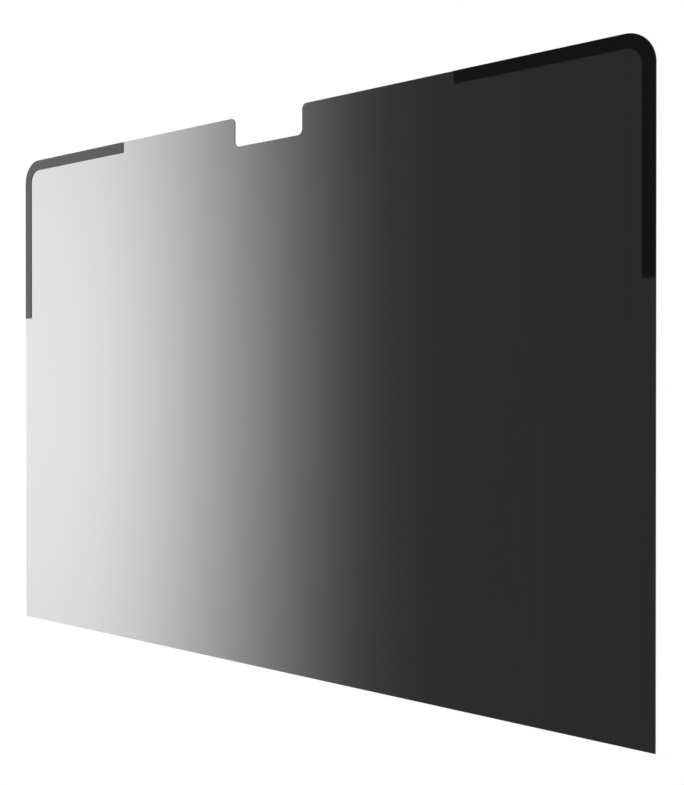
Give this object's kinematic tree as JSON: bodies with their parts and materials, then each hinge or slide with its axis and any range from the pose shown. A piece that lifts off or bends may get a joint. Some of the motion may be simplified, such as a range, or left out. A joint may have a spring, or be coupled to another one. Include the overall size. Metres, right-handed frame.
{
  "type": "laptop privacy filter",
  "caption": "Thin rectangular privacy filter sheet with rounded top corners, a camera notch in its top edge and an L-shaped magnetic strip at each top corner.",
  "frame": {"origin": "centre of the sheet's plain rear face, on the surface that the sheet lies on", "axes": "+X to the right along the long edge and +Y to the notched top edge, as the face with the strips is seen; +Z out of that face"},
  "size_m": [0.299, 0.198, 0.0006],
  "materials": {
    "film": "dark neutral grey film with a satin anti-glare face",
    "magnet": "black flexible magnet strip with a fine grain and a low satin sheen"
  },
  "bodies": {
    "root": {"filter_sheet": "film", "left_magnet_strip": "magnet", "right_magnet_strip": "magnet"}
  },
  "joints": []
}
